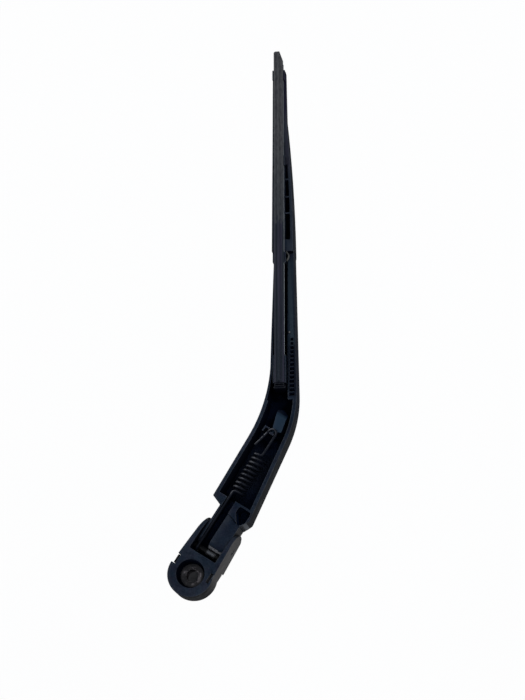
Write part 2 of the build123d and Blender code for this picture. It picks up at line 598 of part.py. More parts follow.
# Room beside the squeegee, crossed by ribs, that is cut out of the shell
with BuildPart() as shell_pocket:
    with BuildSketch(Plane.XY.offset(SHELL_LOW_Z)):
        with BuildLine():
            shell_outline()
        make_face()
        offset(amount=-SHELL_WALL, mode=Mode.REPLACE)
        with Locations((BLADE_X + SHELL_POCKET_LEFT, SHELL_POCKET_LOW_Y)):
            run = SHELL_POCKET_HIGH_Y - SHELL_POCKET_LOW_Y
            Rectangle(SHELL_RIGHT, run, align=(Align.MIN, Align.MIN), mode=Mode.INTERSECT)
        for rib in SHELL_RIBS:
            with Locations((BLADE_X, rib)):
                Rectangle(2 * SHELL_RIGHT, SHELL_RIB, mode=Mode.SUBTRACT)
    extrude(amount=DECK_Z - SHELL_LOW_Z)
    with BuildSketch(Plane.YZ):
        with BuildLine():
            low = (PIVOT_Y + SHELL_FOOT, SHELL_LOW_Z + SHELL_POCKET_FLOOR)
            high = (SHELL_END_Y, SHELL_TIP_Z + SHELL_POCKET_FLOOR)
            ThreePointArc(low, (SHELL_MID_Y, SHELL_MID_Z + SHELL_POCKET_FLOOR), high)
            Polyline(high, (SHELL_END_Y, DECK_Z), (PIVOT_Y + SHELL_FOOT, DECK_Z), low)
        make_face()
    extrude(amount=WIDE, mode=Mode.INTERSECT)

# Blade carrier: heel, bar, pivot boss and the outboard shell with its claws, moulded as one
with BuildPart() as blade_carrier:
    # Outboard shell in plan, then its side profile
    with BuildSketch(Plane.XY.offset(SHELL_LOW_Z)):
        with BuildLine():
            shell_outline()
        make_face()
    extrude(amount=DECK_Z - SHELL_LOW_Z)
    with BuildSketch(Plane.YZ):
        with BuildLine():
            lip = (PIVOT_Y + SHELL_START, END_RIM_Z)
            foot = (PIVOT_Y + SHELL_FOOT, SHELL_LOW_Z)
            ThreePointArc(lip, (PIVOT_Y + ARM_END_RADIUS + END_GAP, PIVOT_Z), foot)
            outer = ThreePointArc(foot, (SHELL_MID_Y, SHELL_MID_Z), (SHELL_END_Y, SHELL_TIP_Z))
            Polyline(outer @ 1, (SHELL_END_Y, DECK_Z), (PIVOT_Y + SHELL_START, DECK_Z), lip)
        make_face()
    extrude(amount=WIDE, mode=Mode.INTERSECT)
    add(shell_pocket.part, mode=Mode.SUBTRACT)
    # Bar that lies in the arm's pocket, with the heel at its free end
    with BuildSketch(BLADE_SIDE):
        with Locations((HEEL_Y, DECK_Z)):
            bar_run = PIVOT_Y + ARM_END_RADIUS + END_GAP + WALL - HEEL_Y
            Rectangle(bar_run, DECK_Z - BAR_LOW_Z, align=(Align.MIN, Align.MAX))
    extrude(amount=BAR_HALF, both=True)
    with BuildSketch(BLADE_SIDE):
        with Locations((HEEL_Y, DECK_Z)):
            Rectangle(HEEL_LENGTH, DECK_Z - HEEL_LOW_Z, align=(Align.MIN, Align.MAX))
            Rectangle(HEEL_WALL, CLAW_TOP_Z - DECK_Z, align=(Align.MIN, Align.MIN))
    extrude(amount=HEEL_HALF, both=True)
    # Pivot boss
    with BuildSketch(BLADE_SIDE.offset(-BOSS_LEFT)):
        with Locations((PIVOT_Y, PIVOT_Z)):
            Circle(PIVOT_BOSS_RADIUS)
    extrude(amount=BOSS_LEFT + BOSS_RIGHT)
    with BuildSketch(BLADE_SIDE.offset(-BOSS_LEFT)):
        with Locations((PIVOT_Y, PIVOT_Z)):
            Circle(BUSH_RADIUS)
    extrude(amount=BOSS_LEFT + BOSS_RIGHT, mode=Mode.SUBTRACT)
    # Claws that hold the squeegee's rails
    claws = [(place - CLAW_LENGTH / 2, CLAW_LENGTH) for place in CLAW_PLACES]
    for claw_start, claw_length in [(RUBBER_Y, HEEL_CLAW_LENGTH), *claws]:
        with BuildSketch(Plane.XZ.offset(-claw_start - claw_length)):
            with Locations((BLADE_X, DECK_Z)):
                Rectangle(2 * CLAW_OUTER, CLAW_BASE, align=(Align.CENTER, Align.MAX))
            for side in (1, -1):
                Polygon(
                    (BLADE_X + side * CLAW_INNER, DECK_Z - CLAW_BASE),
                    (BLADE_X + side * CLAW_OUTER, DECK_Z - CLAW_BASE),
                    (BLADE_X + side * CLAW_OUTER, CLAW_TOP_Z),
                    (BLADE_X + side * CLAW_LIP, CLAW_TOP_Z),
                    (BLADE_X + side * CLAW_LIP, RAIL_TOP_Z + CLAW_PLAY),
                    (BLADE_X + side * CLAW_INNER, RAIL_TOP_Z + CLAW_PLAY),
                    align=None,
                )
        extrude(amount=claw_length)
blade_carrier.part.label = "blade_carrier"
export_step(blade_carrier.part, "parts/blade_carrier.step")

with BuildPart() as pivot_bush:
    with BuildSketch(BLADE_SIDE.offset(-BOSS_LEFT)):
        with Locations((PIVOT_Y, PIVOT_Z)):
            Circle(BUSH_RADIUS)
            Circle(PIVOT_RADIUS + PIVOT_PLAY, mode=Mode.SUBTRACT)
    extrude(amount=BOSS_LEFT + BOSS_RIGHT)
pivot_bush.part.label = "pivot_bush"
export_step(pivot_bush.part, "parts/pivot_bush.step")

# Squeegee: an extruded rubber strip with a groove for the rails and a thin wiping lip
with BuildPart() as squeegee:
    with BuildSketch(Plane.XZ.offset(-TIP_Y)):
        half = [
            (RUBBER_SPINE_HALF, DECK_Z),
            (RUBBER_SPINE_HALF, RAIL_LOW_Z),
            (RAIL_INNER, RAIL_LOW_Z),
            (RAIL_INNER, RAIL_TOP_Z),
            (RUBBER_SPINE_HALF, RAIL_TOP_Z),
            (RUBBER_SPINE_HALF, RUBBER_BODY_Z),
            (RUBBER_HALF, RUBBER_BODY_Z),
            (RUBBER_HALF, RUBBER_BODY_Z + RUBBER_EDGE),
            (RUBBER_SHOULDER_HALF, RUBBER_SHOULDER_Z),
            (LIP_ROOT_HALF, RUBBER_SHOULDER_Z),
            (LIP_HALF, LIP_TOP_Z),
        ]
        right = [(BLADE_X + x, z) for x, z in half]
        left = [(BLADE_X - x, z) for x, z in reversed(half)]
        Polygon(*right, *left, align=None)
    extrude(amount=TIP_Y - RUBBER_Y)
    with BuildSketch(Plane.XY.offset(DECK_Z)):
        tip_corner = (BLADE_X + RUBBER_HALF, TIP_Y)
        cut_left = (BLADE_X + RUBBER_HALF - TIP_CUT_WIDTH, TIP_Y)
        cut_low = (BLADE_X + RUBBER_HALF, TIP_Y - TIP_CUT_LENGTH)
        Polygon(tip_corner, cut_left, cut_low, align=None)
    extrude(amount=LIP_TOP_Z - DECK_Z, mode=Mode.SUBTRACT)
squeegee.part.label = "squeegee"
export_step(squeegee.part, "parts/squeegee.step")


def rail(side, end_y):
    """Flat steel rail in the groove on one side of the squeegee, up to a place along it."""
    start_y = RUBBER_Y + RAIL_END_GAP
    with BuildPart() as strip:
        with BuildSketch(Plane.XY.offset(RAIL_LOW_Z)):
            with Locations((BLADE_X + side * (RAIL_INNER + RAIL_OUTER) / 2, start_y)):
                Rectangle(RAIL_OUTER - RAIL_INNER, end_y - start_y, align=(Align.CENTER, Align.MIN))
        extrude(amount=RAIL_THICKNESS)
    return strip


rail_left = rail(-1, TIP_Y - RAIL_END_GAP)
rail_left.part.label = "rail_left"
export_step(rail_left.part, "parts/rail_left.step")

rail_right = rail(1, TIP_Y - TIP_CUT_LENGTH - RAIL_END_GAP / 2)
rail_right.part.label = "rail_right"
export_step(rail_right.part, "parts/rail_right.step")

# Heel plug: a small cup that closes the squeegee's end against the heel
with BuildPart() as heel_plug:
    with BuildSketch(Plane.XY.offset(DECK_Z)):
        with Locations((BLADE_X, HEEL_Y + HEEL_WALL)):
            Rectangle(2 * PLUG_HALF, PLUG_LENGTH, align=(Align.CENTER, Align.MIN))
    extrude(amount=PLUG_TOP_Z - DECK_Z)
    with BuildSketch(Plane.XY.offset(PLUG_TOP_Z)):
        with Locations((BLADE_X, HEEL_Y + HEEL_WALL + PLUG_WALL)):
            cup = PLUG_LENGTH - 2 * PLUG_WALL
            Rectangle(2 * (PLUG_HALF - PLUG_WALL), cup, align=(Align.CENTER, Align.MIN))
    extrude(amount=-PLUG_DEPTH, mode=Mode.SUBTRACT)
heel_plug.part.label = "heel_plug"
export_step(heel_plug.part, "parts/heel_plug.step")
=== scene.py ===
# %% [markdown]
# # A rear wiper arm, dressed in Blender
# The arm lies on its outer face, so the camera looks into its open channel: a pivot head with a
# steel insert, a fold hinge, a tension spring and a rocking blade. The solids come from CAD. This
# lesson gives them worn edges, a round spring wire, splines and the finishes of a used part.
# The lower arm leans to the right, so places on it are told by how far they lie from the spindle
# ALONG the lower arm and to the LEFT of it.

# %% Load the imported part
import json
from math import cos, radians, sin, tan

import bpy
from mathutils import Matrix, Vector


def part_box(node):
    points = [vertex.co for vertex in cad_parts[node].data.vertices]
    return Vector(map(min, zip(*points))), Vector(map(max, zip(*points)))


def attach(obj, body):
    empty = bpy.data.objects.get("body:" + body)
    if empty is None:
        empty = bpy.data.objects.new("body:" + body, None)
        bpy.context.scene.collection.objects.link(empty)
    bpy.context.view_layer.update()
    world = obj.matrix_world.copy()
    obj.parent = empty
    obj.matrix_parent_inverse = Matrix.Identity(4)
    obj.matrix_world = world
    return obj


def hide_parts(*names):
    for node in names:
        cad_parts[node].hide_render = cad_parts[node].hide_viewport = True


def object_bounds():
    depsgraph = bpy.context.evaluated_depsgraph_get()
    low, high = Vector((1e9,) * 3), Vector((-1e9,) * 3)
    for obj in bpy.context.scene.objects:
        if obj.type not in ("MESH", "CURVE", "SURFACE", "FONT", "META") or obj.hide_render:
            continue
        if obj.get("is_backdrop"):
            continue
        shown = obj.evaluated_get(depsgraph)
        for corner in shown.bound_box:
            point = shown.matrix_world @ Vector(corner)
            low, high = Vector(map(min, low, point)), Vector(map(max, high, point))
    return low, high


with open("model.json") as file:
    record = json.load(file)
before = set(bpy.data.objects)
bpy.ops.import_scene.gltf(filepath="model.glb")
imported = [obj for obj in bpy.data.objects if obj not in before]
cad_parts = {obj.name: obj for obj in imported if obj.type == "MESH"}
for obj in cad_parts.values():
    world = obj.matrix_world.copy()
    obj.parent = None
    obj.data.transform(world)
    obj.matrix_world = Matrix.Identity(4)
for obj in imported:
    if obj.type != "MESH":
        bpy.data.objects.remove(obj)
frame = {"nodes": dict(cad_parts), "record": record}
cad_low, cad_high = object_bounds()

MM = 0.001
LEAN = radians(33)
ALONG = Vector((sin(LEAN), cos(LEAN), 0))
LEFT = Vector((-cos(LEAN), sin(LEAN), 0))
UP = Vector((0, 0, 1))
RECORD = frame["record"]
BODY_OF = {
    node: body for body, nodes in RECORD["behaviour"]["bodies"].items() for node in nodes
}
SLOT_OF = {row["node"]: row["material_slot"] for row in RECORD["subparts"]}


def in_mm(length, digits=1):
    return round(length / MM, digits)


sides = [in_mm(side) for side in cad_high - cad_low]
print("the part is", sides, "mm, in", len(BODY_OF), "nodes")

# %% [markdown]
# ## Camera
# The photograph looks down on the arm from its lower end, about 20 degrees off the vertical and a
# little from the right. A long lens from 1.4 m keeps the head and the tip at nearly one scale.
# A camera could be aimed by a constraint, but a fixed place and direction are easier to check.

# %% Camera at the photograph's angle
CAMERA_PLACE = Vector((0.25999, -0.26539, 1.32463))
TOWARDS_CAMERA = Vector((0.14895, -0.30557, 0.94045))
LENS_MM = 99.36
SENSOR_MM = 36
SIGHT_LIMIT = 20

bpy.ops.object.camera_add(location=CAMERA_PLACE)
camera = bpy.context.object
image_up = (Vector((0, 1, 0)) - TOWARDS_CAMERA.y * TOWARDS_CAMERA).normalized()
axes = (image_up.cross(TOWARDS_CAMERA), image_up, TOWARDS_CAMERA)
camera.rotation_euler = Matrix(axes).transposed().to_euler()
camera.data.sensor_width = SENSOR_MM
camera.data.lens = LENS_MM
camera.data.clip_end = SIGHT_LIMIT
bpy.context.scene.camera = camera
print("camera is", round((CAMERA_PLACE - (cad_low + cad_high) / 2).length, 2), "m from the arm")

# %% [markdown]
# ## Shader arithmetic
# Every finish below is a sum of masks: dust, scuffs, rust. Wiring Math nodes by hand hides that
# sum, so one small class wraps a socket and turns + - * into Math nodes, and one method makes any
# other node from its type, its settings and what goes into its sockets.


# %% A socket that can be added and multiplied
class Amount:
    """A socket that holds a number which changes over a surface."""

    def __init__(self, nodes, socket):
        self.nodes = nodes
        self.socket = socket

    def maths(self, operation, first, second):
        return self.nodes.node("ShaderNodeMath", {"operation": operation}, {0: first, 1: second})

    def __add__(self, other):
        return self.maths("ADD", self, other)

    def __sub__(self, other):
        return self.maths("SUBTRACT", self, other)

    def __rsub__(self, other):
        return self.maths("SUBTRACT", other, self)

    def __mul__(self, other):
        return self.maths("MULTIPLY", self, other)

    __radd__ = __add__
    __rmul__ = __mul__


# %% A tree that makes its nodes
class Nodes:
    """A node tree with one method that makes its nodes."""

    def __init__(self, tree):
        self.tree = tree

    def node(self, kind, settings=None, sockets=None, out=0):
        made = self.tree.nodes.new(kind)
        for name, setting in (settings or {}).items():
            setattr(made, name, setting)
        self.fill(made, sockets or {})
        return Amount(self, made.outputs[out])

    def fill(self, made, sockets):
        """Links a node's sockets to amounts, and sets the others."""
        for key, value in sockets.items():
            if isinstance(value, Amount):
                self.tree.links.new(value.socket, made.inputs[key])
            else:
                made.inputs[key].default_value = value

    def step(self, amount, low, high):
        """0 below low, 1 above high and smooth between."""
        smooth = {"interpolation_type": "SMOOTHSTEP"}
        return self.node("ShaderNodeMapRange", smooth, {0: amount, 1: low, 2: high})

    def part(self, vector, axis):
        """One of the three numbers of a place or a direction."""
        return self.node("ShaderNodeSeparateXYZ", None, {0: vector}, axis)

    def mix(self, mask, under, over):
        """A colour that goes from one to another where the mask goes from 0 to 1."""
        # A Mix node has sockets for each kind of data: 6, 7 and output 2 are for colours.
        colours = {0: mask, 6: under, 7: over}
        return self.node("ShaderNodeMix", {"data_type": "RGBA"}, colours, 2)


# %% [markdown]
# ## A finish and its masks
# A finish is one material and the masks that its wear and its painted light and shade are made of:
# noise for patches, the Ambient Occlusion node for painted shade where the piece shelters itself,
# the way a face points and where it lies on the part. Painted images could hold these masks, but
# nodes on Object coordinates need no unwrapping, and they stay on their piece when the arm folds.
# Lengths in these methods are in millimetres.


# %% A finish with its masks
class Finish(Nodes):
    """A material, with the masks that its wear and its painted light and shade are made of."""

    def __init__(self, name, **constants):
        self.material = bpy.data.materials.new(name)
        self.material.use_nodes = True
        super().__init__(self.material.node_tree)
        self.surface = self.tree.nodes["Principled BSDF"]
        self.fill_surface(constants)
        self.place = self.node("ShaderNodeTexCoord", out="Object")
        self.facing = self.node("ShaderNodeTexCoord", out="Normal")

    def fill_surface(self, sockets):
        spaced = {name.replace("_", " "): value for name, value in sockets.items()}
        self.fill(self.surface, spaced)

    def noise(self, size, detail=3, stretch=(1, 1, 1)):
        """Soft random patches of about this size, drawn out along an axis by a stretch."""
        scale = tuple(1 / (size * MM * along) for along in stretch)
        place = self.node("ShaderNodeMapping", None, {"Vector": self.place, "Scale": scale})
        pattern = {"Vector": place, "Scale": 1.0, "Detail": detail}
        return self.node("ShaderNodeTexNoise", None, pattern)

    def openness(self, reach, inside=False):
        """1 on open ground, less where the piece itself closes in within this reach."""
        settings = {"samples": 8, "inside": inside, "only_local": True}
        return self.node("ShaderNodeAmbientOcclusion", settings, {"Distance": reach * MM}, "AO")

    def vector_maths(self, operation, first, second=(0, 0, 0), out="Value"):
        settings = {"operation": operation}
        return self.node("ShaderNodeVectorMath", settings, {0: first, 1: second}, out)

    def points_to(self, direction):
        """1 where the surface faces this way."""
        return self.vector_maths("DOT_PRODUCT", self.facing, direction)

    def reach(self, direction):
        """How far a place lies from the spindle in a direction, in metres."""
        return self.vector_maths("DOT_PRODUCT", self.place, direction)

    def from_spindle(self):
        """How far a place lies from the spindle's axis, in metres."""
        in_plan = self.vector_maths("MULTIPLY", self.place, (1, 1, 0), "Vector")
        return self.vector_maths("LENGTH", in_plan)

    def rise(self, amount, start, end):
        """0 before the start and 1 past the end, whichever of the two is larger."""
        return self.step(amount, start * MM, end * MM)

    def band(self, amount, low, high, soft):
        """1 between low and high, and soft at both ends."""
        return self.rise(amount, low - soft, low) * self.rise(amount, high + soft, high)

    def bump(self, height, depth):
        """A relief of this depth."""
        relief = {"Strength": 1.0, "Distance": depth * MM, "Height": height}
        return self.node("ShaderNodeBump", None, relief)

    def show(self, **sockets):
        self.fill_surface(sockets)
        print("finish", self.material.name, "has", len(self.tree.nodes), "nodes")
        return self.material


def tone(red, green, blue):
    return (red, green, blue, 1.0)


# %% [markdown]
# ## Black plastic
# The head, the arm and the blade's carrier are moulded in a black glass-filled plastic. What faces
# up is painted blue-black for the sky's light on it, and the walls a warmer grey for painted
# bounce light from the floor. Years outdoors leave the edges pale. What lies deep in the channel
# is painted near black and navy as shade. One dark colour would look like a hole, so each of these
# is a mask: the direction of the face, the Ambient Occlusion node for what is open or sheltered,
# and the same node turned inside for the edges, where little plastic lies behind the surface.

# %% Tones of the black plastic
# The face tones are bluish as painted sky light on upward faces, and the wall tones a warmer grey
# as painted bounce light from the floor. The violet, dim and scuff tones are random patches.
WALL_DARK = tone(0.0085, 0.0095, 0.0115)
WALL_PALE = tone(0.0135, 0.0145, 0.0165)
WALL_SCUFF = tone(0.022, 0.023, 0.026)
# Painted shade for the walls of the upper arm.
UPPER_WALL_SHADE = tone(0.0025, 0.0045, 0.0095)
FACE_DARK = tone(0.0025, 0.0064, 0.0135)
FACE_PALE = tone(0.0058, 0.0112, 0.0208)
FACE_VIOLET = tone(0.008, 0.0082, 0.0172)
FACE_DIM = tone(0.0016, 0.0036, 0.0085)
DUST = tone(0.045, 0.056, 0.075)
PALE_EDGE = tone(0.06, 0.072, 0.09)
# Painted shade: near black with navy for what the piece shelters, and a lighter navy for its tight
# nooks.
SHADE_BLACK = tone(0.0006, 0.001, 0.003)
SHADE_NAVY = tone(0.0017, 0.0034, 0.01)
NOOK_SHADE_NAVY = tone(0.007, 0.012, 0.03)
print("dust is", round(DUST[1] / FACE_PALE[1], 1), "times as bright as a pale face")


# %% Black plastic finish
def black_plastic(name, marks):
    """The plastic, and over it the marks that belong to one moulding."""
    finish = Finish(name, Specular_IOR_Level=0.0, Coat_Roughness=0.36)
    patches = finish.noise(30, 4)
    tint = finish.step(finish.noise(6), 0.44, 0.58)
    dim = finish.step(finish.noise(4.5), 0.46, 0.66)
    speckle = finish.noise(1.1, 5)
    scuffs = finish.step(finish.noise(4, 6, (1, 5, 1)), 0.52, 0.7)
    upward = finish.step(finish.part(finish.facing, 2), 0.5, 0.9)
    upper = finish.rise(finish.part(finish.place, 1), 100, 130)
    # The Ambient Occlusion mask below is 1 where the piece is open and less where it closes itself
    # in; painted shade goes where it is low.
    open_to_light = finish.step(finish.openness(20), 0.58, 0.95)
    nook_shade = finish.step(finish.openness(3), 0.6, 0.25)
    edge = open_to_light * finish.step(finish.openness(0.8, inside=True), 0.9, 0.5)
    dust = upward * finish.step(patches * 0.6 + speckle * 0.5, 0.42, 0.72)

    wall = finish.mix(patches, WALL_DARK, WALL_PALE)
    wall = finish.mix(scuffs * 0.5, wall, WALL_SCUFF)
    # Painted shade: the walls turn darker navy along the upper arm.
    wall = finish.mix(upper, wall, UPPER_WALL_SHADE)
    face = finish.mix(patches, FACE_DARK, FACE_PALE)
    face = finish.mix(tint * 0.6, face, FACE_VIOLET)
    face = finish.mix(dim * 0.7, face, FACE_DIM)
    # Which way a face points picks its tone: bluish painted sky light facing up, warmer painted
    # bounce light on the walls.
    colour = finish.mix(upward, wall, face)
    colour = finish.mix(dust * 0.2, colour, DUST)
    colour = finish.mix(edge * 0.5, colour, PALE_EDGE)
    # Painted shade: near black with navy blotches where the piece shelters itself, and navy in
    # tight nooks.
    painted_shade = finish.mix(finish.step(finish.noise(12), 0.42, 0.62), SHADE_BLACK, SHADE_NAVY)
    colour = finish.mix(open_to_light, painted_shade, colour)
    colour = finish.mix(nook_shade, colour, NOOK_SHADE_NAVY)
    for mask, mark in marks(finish, upward, open_to_light):
        colour = finish.mix(mask, colour, mark)
    return finish.show(
        Base_Color=colour,
        Roughness=0.42 + 0.16 * speckle + 0.12 * scuffs,
        Coat_Weight=open_to_light * (0.06 + 0.06 * upward + 0.06 * scuffs + 0.25 * edge),
        Normal=finish.bump(speckle, 0.04),
    )


# %% [markdown]
# ## Marks on the arm and the head
# Some marks have their own place. Grit in the socket is real dust, and the tongue and the row of
# cells are a darker blue. The others are painted light and shade: a painted highlight where the
# tongue's round end meets its pin, painted bounce light on the head's right side, painted light on
# the deck, its crown and the plateau, and painted shade on the upper right wall, the side pocket,
# the gaps beside the lugs, the snap tabs and the inner wall on the left. Each is a band in
# millimetres from the spindle, with a tone that is laid over the plastic. On the lower arm the
# bands follow its lean. On the upper arm they follow the part's own axes: right, along and high.


# %% The arm's marks
def arm_marks(finish, upward, open_to_light):
    reach, across = finish.reach(ALONG), finish.reach(LEFT)
    right, along, high = (finish.part(finish.place, axis) for axis in range(3))
    rightward = finish.step(finish.points_to(-LEFT), 0.6, 0.9)
    # Painted bounce light: the head's right-facing side is a paler grey.
    head_side_light = rightward * finish.band(reach, 8, 36, 14) * finish.rise(across, -9, -11)
    # Painted highlight: a pale band along the tongue's round end by the pin, broken up by noise.
    tongue_end_highlight = finish.band(reach, 23, 23.9, 0.7) * finish.band(across, -10, 1, 1)
    tongue_end_highlight = tongue_end_highlight * finish.step(finish.noise(1.3, 4), 0.36, 0.5)
    grit = upward * finish.rise(finish.from_spindle(), 6.5, 5)
    tongue = upward * finish.band(reach, 27, 60, 2) * finish.band(across, -10, 1.5, 0.5)
    ladder = upward * finish.band(along, 128, 172, 1) * finish.band(right, 70, 75, 0.6)
    # Painted light: the deck's upward faces are a paler blue.
    deck = upward * finish.band(along, 168, 231, 3) * finish.band(right, 69.4, 76, 0.6)
    # Painted shade: the right rim and wall go dark navy along the upper arm.
    right_rim_shade = finish.band(along, 132, 228, 10) * finish.rise(right, 73.2, 74)
    beside_wall = finish.reach(Vector((1, 0.05, 0)))
    # Painted light: a paler strip along the deck's crown by the wall.
    crown = deck * finish.band(beside_wall, 80.4, 82.2, 1)
    # Painted light: the plateau's upward faces across the channel are a lighter blue.
    bridge = upward * finish.band(reach, 117, 136, 1) * finish.band(across, 2, 14, 0.5)
    bridge = bridge * finish.band(high, 0.5, 2, 1)
    side_pocket = finish.band(reach, 46, 58.8, 0.4) * finish.band(across, -12.6, -2.9, 0.2)
    # Painted shade: the sheltered floor of the side pocket is navy.
    sunk = side_pocket * finish.rise(high, 1.5, 0) * (1 - open_to_light)
    # Painted shade: the narrow gaps beside the lugs are near black.
    lug_gap_shade = finish.band(across, -11.2, -10.6, 0.15) + finish.band(across, 10.5, 11, 0.15)
    lug_gap_shade = lug_gap_shade * finish.band(reach, 16, 41, 0.5) * finish.rise(high, 0, 2)
    # Painted shade: the tops of the snap tabs are near black, for a dark slot.
    snap_tab_shade = upward * finish.band(reach, 0.6, 7.8, 0.1) * finish.band(high, 6.2, 7.1, 0.3)
    # Painted shade: the inner wall on the left, which faces right, is near black on the lower arm.
    inner_left_shade = rightward * finish.rise(across, 2, 5) * finish.rise(reach, 128, 118)
    return (
        (head_side_light, tone(0.06, 0.058, 0.058)),
        (tongue_end_highlight, tone(0.14, 0.14, 0.15)),
        (grit, tone(0.1, 0.1, 0.105)),
        (tongue * 0.4, tone(0.0022, 0.006, 0.0155)),
        (ladder * 0.6, tone(0.0015, 0.003, 0.008)),
        (deck * 0.5, tone(0.014, 0.024, 0.036)),
        (right_rim_shade * 0.75, tone(0.0016, 0.0036, 0.0095)),
        (crown * 0.6, tone(0.024, 0.036, 0.048)),
        (bridge * 0.8, tone(0.012, 0.025, 0.043)),
        (sunk * 0.85, tone(0.003, 0.009, 0.025)),
        (inner_left_shade * 0.85, tone(0.0012, 0.002, 0.005)),
        (lug_gap_shade * 0.8, tone(0.0012, 0.0018, 0.004)),
        (snap_tab_shade, tone(0.0008, 0.0012, 0.003)),
    )


PLASTIC = black_plastic("black_plastic", arm_marks)

# %% [markdown]
# ## Marks on the blade
# The carrier is the same plastic. Its bar has a painted violet shadow beside the rubber near the
# tip and has gone lilac lower down, its flange has paled, its pocket is painted near black as
# shade, and the end of its heel is darker.


# %% The blade's marks
def blade_marks(finish, upward, open_to_light):
    right, along, high = (finish.part(finish.place, axis) for axis in range(3))
    # Painted shadow: a violet strip beside the rubber near the tip.
    violet_shadow = finish.band(along, 346, 380, 4) * finish.band(right, 67, 69, 0.4)
    lilac = upward * finish.band(along, 305, 346, 8) * finish.band(right, 68.4, 74, 0.4)
    flange = upward * finish.band(along, 240, 300, 6) * finish.band(right, 69.5, 74.5, 0.4)
    # Painted shade: the blade's pocket is near black.
    pocket_shade = finish.rise(high, 7, 4) * finish.rise(along, 242, 228) * (1 - 0.3 * open_to_light)
    heel_end = finish.rise(along, 138, 135)
    return (
        (violet_shadow * 0.8, tone(0.008, 0.0065, 0.02)),
        (lilac * 0.45, tone(0.034, 0.033, 0.045)),
        (flange * 0.6, tone(0.019, 0.025, 0.036)),
        (pocket_shade * 0.9, tone(0.0006, 0.001, 0.003)),
        (heel_end * 0.9, tone(0.0012, 0.0016, 0.004)),
    )


BLADE_PLASTIC = black_plastic("blade_plastic", blade_marks)

# %% [markdown]
# ## Plain steel
# The pins and rails are drawn or rolled steel, each with its own brightness and share of rust, so
# one function makes them all from a base of metal with drawn streaks. Rust is a brown, rough patch
# that also takes away the metal, so one mask drives colour, roughness and metalness together. The
# spring's anchor pin is painted near black at both ends as shade, and shows its steel only on the
# stretch between.


# %% Steel finish with a share of rust
RUST = tone(0.03, 0.023, 0.02)
PIN_END_SHADE = tone(0.0015, 0.0015, 0.002)


def steel(name, clean, rust_share, roughness, streak=(1, 1, 1), shaded_ends=False):
    finish = Finish(name, Specular_IOR_Level=0.08 if shaded_ends else 0.5)
    streaks = finish.noise(0.8, 3, streak)
    spots = finish.noise(1.6, 6)
    rust = finish.step(spots, 0.62 - 0.3 * rust_share, 0.78 - 0.3 * rust_share)
    dull = tuple(0.7 * level for level in clean)
    colour = finish.mix(streaks, tone(*dull), tone(*clean))
    colour = finish.mix(rust, colour, RUST)
    bare = 1 - 0.9 * rust
    # Painted shade: both ends of the anchor pin go near black and lose their metal.
    if shaded_ends:
        across = finish.reach(LEFT)
        pin_end_shade = finish.rise(across, -0.5, 1) + finish.rise(across, -5, -7)
        colour = finish.mix(pin_end_shade, colour, PIN_END_SHADE)
        bare = bare * (1 - pin_end_shade)
    return finish.show(
        Base_Color=colour,
        Metallic=bare,
        Roughness=roughness + 0.14 * streaks + 0.25 * rust,
        Normal=finish.bump(spots, 0.03),
    )


PIN_STEEL = steel("pin_steel", (0.13, 0.13, 0.135), 0.25, 0.36)
STUB_STEEL = steel("stub_steel", (0.02, 0.021, 0.024), 0.3, 0.5)
ANCHOR_STEEL = steel("anchor_steel", (0.08, 0.084, 0.093), 0.2, 0.4, shaded_ends=True)
RAIL_STEEL = steel("rail_steel", (0.16, 0.175, 0.19), 0.1, 0.3, streak=(1, 40, 1))

# %% [markdown]
# ## Rusty insert
# The insert sits in a damp socket, so nearly all of it is dark, pitted rust. Only round the bore,
# where the spindle and its nut have worked, does some bare steel show.


# %% Rusty steel of the insert
def rusty_steel():
    finish = Finish("insert_steel", Specular_IOR_Level=0.12)
    pits = finish.noise(2.2, 6)
    middle = finish.rise(finish.from_spindle(), 8, 5)
    bare = middle * finish.step(finish.noise(3.6, 5), 0.47, 0.62)
    colour = finish.mix(pits, tone(0.006, 0.007, 0.01), tone(0.022, 0.02, 0.02))
    return finish.show(
        Base_Color=finish.mix(bare, colour, tone(0.11, 0.1, 0.105)),
        Metallic=0.7 * bare,
        Roughness=0.66 - 0.25 * bare,
        Normal=finish.bump(pits, 0.12),
    )


INSERT_STEEL = rusty_steel()

# %% [markdown]
# ## Spring wire
# The wire is coated black. On the coil the coat has dulled, and a grey highlight is painted on the
# lit upper left of each turn. A mask from edges finds nothing on a round wire, so this painted
# highlight comes from where the surface points and where it lies.


# %% Black-coated wire
def coated_wire():
    finish = Finish("coated_wire", Specular_IOR_Level=0.06)
    patches = finish.noise(4, 4)
    coil = finish.rise(finish.reach(ALONG), 56, 68)
    # Painted highlight: the lit upper left of each turn of the coil turns grey, broken up by
    # noise.
    lit_side = finish.step(finish.points_to((0.7 * LEFT + UP).normalized()), 0.6, 0.98)
    left_half = finish.rise(finish.reach(LEFT), 2, 9)
    painted_highlight = coil * lit_side * left_half * finish.step(finish.noise(2.2, 4), 0.3, 0.6)
    colour = finish.mix(patches, tone(0.002, 0.003, 0.006), tone(0.005, 0.006, 0.01))
    colour = finish.mix(coil * 0.25, colour, tone(0.009, 0.01, 0.016))
    return finish.show(
        Base_Color=finish.mix(painted_highlight, colour, tone(0.075, 0.077, 0.085)),
        Roughness=0.34 + 0.14 * patches + 0.16 * painted_highlight,
        Normal=finish.bump(painted_highlight, 0.03),
    )


WIRE = coated_wire()

# %% [markdown]
# ## Rubber
# The squeegee is extruded rubber. The outboard half has bleached to a dusty grey, and the half
# beside the arm stays darker, so the colour follows the place along the blade. Streaks run along
# the strip, as the wear does.

# %% Weathered rubber finish
BLEACH_START = 258
BLEACH_END = 264
RAGGED = 8 * MM


